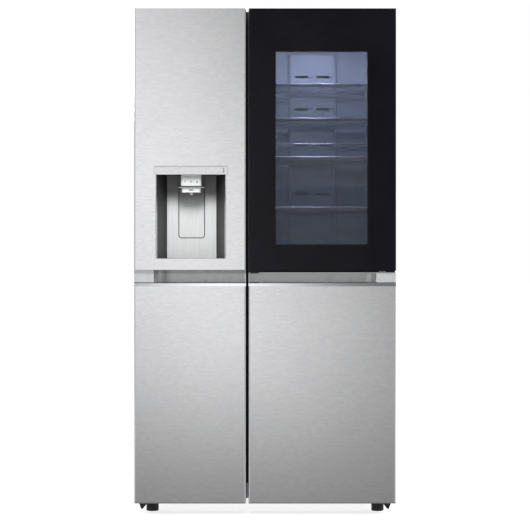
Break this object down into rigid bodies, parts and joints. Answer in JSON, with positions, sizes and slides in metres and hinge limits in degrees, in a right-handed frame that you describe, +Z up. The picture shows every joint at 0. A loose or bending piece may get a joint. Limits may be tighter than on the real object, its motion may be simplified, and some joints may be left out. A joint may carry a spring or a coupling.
{
  "type": "side by side refrigerator",
  "caption": "Two-door upright refrigerator with a water and ice dispenser, a glazed door-in-door showcase and recessed grips.",
  "frame": {"origin": "on the floor, at the centre of the plan", "axes": "+Z up, doors face -Y, +X to the right as seen from the front"},
  "size_m": [0.913, 0.735, 1.775],
  "materials": {
    "brushed_steel": "satin",
    "case_paint": "satin",
    "zinc_sheet": "satin",
    "black_paint": "satin",
    "foam": "matte",
    "liner_white": "gloss",
    "door_cap_grey": "matte",
    "silver_plastic": "satin",
    "trim_aluminium": "satin",
    "seal_rubber": "matte",
    "black_glass": "gloss",
    "clear_glass": "gloss",
    "frame_black": "gloss",
    "recess_grey": "satin",
    "plate_silver": "satin",
    "nozzle_white": "gloss",
    "black_plastic": "satin",
    "white_plastic": "satin",
    "clear_plastic": "gloss",
    "chrome_wire": "polished",
    "coil_aluminium": "satin",
    "lamp_lens": "gloss"
  },
  "bodies": {
    "cabinet": {"case_wrapper": "case_paint", "back_panel": "zinc_sheet", "cabinet_insulation": "foam", "freezer_liner": "liner_white", "fridge_liner": "liner_white", "centre_mullion": "case_paint", "base_chassis": "zinc_sheet", "compressor": "black_paint", "condenser_coil": "coil_aluminium", "machine_room_cover": "zinc_sheet", "evaporator_coil": "coil_aluminium", "freezer_duct_cover": "liner_white", "fridge_duct_cover": "liner_white", "led_lamps": "lamp_lens", "glass_shelves": "clear_glass", "shelf_trims": "silver_plastic", "wine_rack": "chrome_wire", "door_hinge_brackets": "black_paint", "top_covers": "black_plastic", "fan_motors": "zinc_sheet", "rear_connections": "white_plastic"},
    "freezer_door": {"freezer_door_panels": "brushed_steel", "freezer_door_body": "door_cap_grey", "freezer_door_liner": "liner_white", "freezer_door_gasket": "seal_rubber", "freezer_handle": "silver_plastic", "freezer_handle_trim": "trim_aluminium", "dispenser_housing": "recess_grey", "dispenser_bezel": "trim_aluminium", "dispenser_back_plate": "plate_silver", "dispenser_nozzle": "nozzle_white", "ice_maker": "white_plastic", "ice_bin": "clear_plastic", "freezer_door_bins": "clear_plastic"},
    "fridge_door": {"fridge_door_body": "door_cap_grey", "fridge_lower_panel": "brushed_steel", "fridge_door_liner": "liner_white", "fridge_door_gasket": "seal_rubber", "fridge_handle": "silver_plastic", "fridge_handle_trim": "trim_aluminium", "fridge_door_bins": "clear_plastic", "showcase_hinges": "black_paint"},
    "showcase": {"showcase_glass": "black_glass", "showcase_frame": "frame_black", "showcase_gasket": "seal_rubber"},
    "latch": {"release_latch": "black_plastic"},
    "paddle": {"dispenser_paddle": "plate_silver"},
    "key_1": {"selector_key_1": "nozzle_white"},
    "key_2": {"selector_key_2": "nozzle_white"},
    "key_3": {"selector_key_3": "nozzle_white"},
    "crisper_upper": {"crisper_upper": "clear_plastic"},
    "crisper_lower": {"crisper_lower": "clear_plastic"},
    "freezer_drawer_upper": {"freezer_drawer_upper": "clear_plastic"},
    "freezer_drawer_lower": {"freezer_drawer_lower": "clear_plastic"},
    "foot_left": {"levelling_foot_left": "black_plastic"},
    "foot_right": {"levelling_foot_right": "black_plastic"},
    "roller_left": {"rear_roller_left": "black_plastic"},
    "roller_right": {"rear_roller_right": "black_plastic"},
    "condenser_fan": {"condenser_fan": "black_plastic"},
    "evaporator_fan": {"evaporator_fan": "white_plastic"}
  },
  "joints": [
    {"name": "freezer_door_hinge", "type": "hinge", "parent": "cabinet", "child": "freezer_door", "pos_m": [-0.4345, -0.298, 0.9], "axis": [0, 0, -1], "range_deg": [0, 120]},
    {"name": "fridge_door_hinge", "type": "hinge", "parent": "cabinet", "child": "fridge_door", "pos_m": [0.4345, -0.298, 0.9], "axis": [0, 0, 1], "range_deg": [0, 120]},
    {"name": "showcase_hinge", "type": "hinge", "parent": "fridge_door", "child": "showcase", "pos_m": [0.4425, -0.3475, 1.3], "axis": [0, 0, 1], "range_deg": [0, 100]},
    {"name": "release_latch_pull", "type": "hinge", "parent": "showcase", "child": "latch", "pos_m": [-0.036, -0.349, 0.86], "axis": [-1, 0, 0], "range_deg": [0, 12], "stiffness_Nm_per_rad": 0.2, "springref_deg": -11.46},
    {"name": "paddle_press", "type": "hinge", "parent": "freezer_door", "child": "paddle", "pos_m": [-0.2583, -0.279, 1.134], "axis": [1, 0, 0], "range_deg": [0, 8], "stiffness_Nm_per_rad": 0.5, "springref_deg": -8.59},
    {"name": "key_1_press", "type": "slide", "parent": "freezer_door", "child": "key_1", "axis": [0, 1, 0], "range_m": [0, 0.001], "stiffness_N_per_m": 400, "springref_m": -0.0005},
    {"name": "key_2_press", "type": "slide", "parent": "freezer_door", "child": "key_2", "axis": [0, 1, 0], "range_m": [0, 0.001], "stiffness_N_per_m": 400, "springref_m": -0.0005},
    {"name": "key_3_press", "type": "slide", "parent": "freezer_door", "child": "key_3", "axis": [0, 1, 0], "range_m": [0, 0.001], "stiffness_N_per_m": 400, "springref_m": -0.0005},
    {"name": "crisper_upper_slide", "type": "slide", "parent": "cabinet", "child": "crisper_upper", "axis": [0, -1, 0], "range_m": [0, 0.058]},
    {"name": "crisper_lower_slide", "type": "slide", "parent": "cabinet", "child": "crisper_lower", "axis": [0, -1, 0], "range_m": [0, 0.058]},
    {"name": "freezer_drawer_upper_slide", "type": "slide", "parent": "cabinet", "child": "freezer_drawer_upper", "axis": [0, -1, 0], "range_m": [0, 0.058]},
    {"name": "freezer_drawer_lower_slide", "type": "slide", "parent": "cabinet", "child": "freezer_drawer_lower", "axis": [0, -1, 0], "range_m": [0, 0.058]},
    {"name": "foot_left_screw", "type": "hinge", "parent": "cabinet", "child": "foot_left", "pos_m": [-0.399, -0.235, 0.02], "axis": [0, 0, 1], "continuous": true},
    {"name": "foot_right_screw", "type": "hinge", "parent": "cabinet", "child": "foot_right", "pos_m": [0.399, -0.235, 0.02], "axis": [0, 0, 1], "continuous": true},
    {"name": "roller_left_spin", "type": "hinge", "parent": "cabinet", "child": "roller_left", "pos_m": [-0.38, 0.3, 0.02], "axis": [1, 0, 0], "continuous": true},
    {"name": "roller_right_spin", "type": "hinge", "parent": "cabinet", "child": "roller_right", "pos_m": [0.38, 0.3, 0.02], "axis": [1, 0, 0], "continuous": true},
    {"name": "condenser_fan_spin", "type": "hinge", "parent": "cabinet", "child": "condenser_fan", "pos_m": [-0.07, 0.216, 0.14], "axis": [1, 0, 0], "continuous": true},
    {"name": "evaporator_fan_spin", "type": "hinge", "parent": "cabinet", "child": "evaporator_fan", "pos_m": [-0.2415, 0.246, 0.735], "axis": [0, 1, 0], "continuous": true}
  ]
}
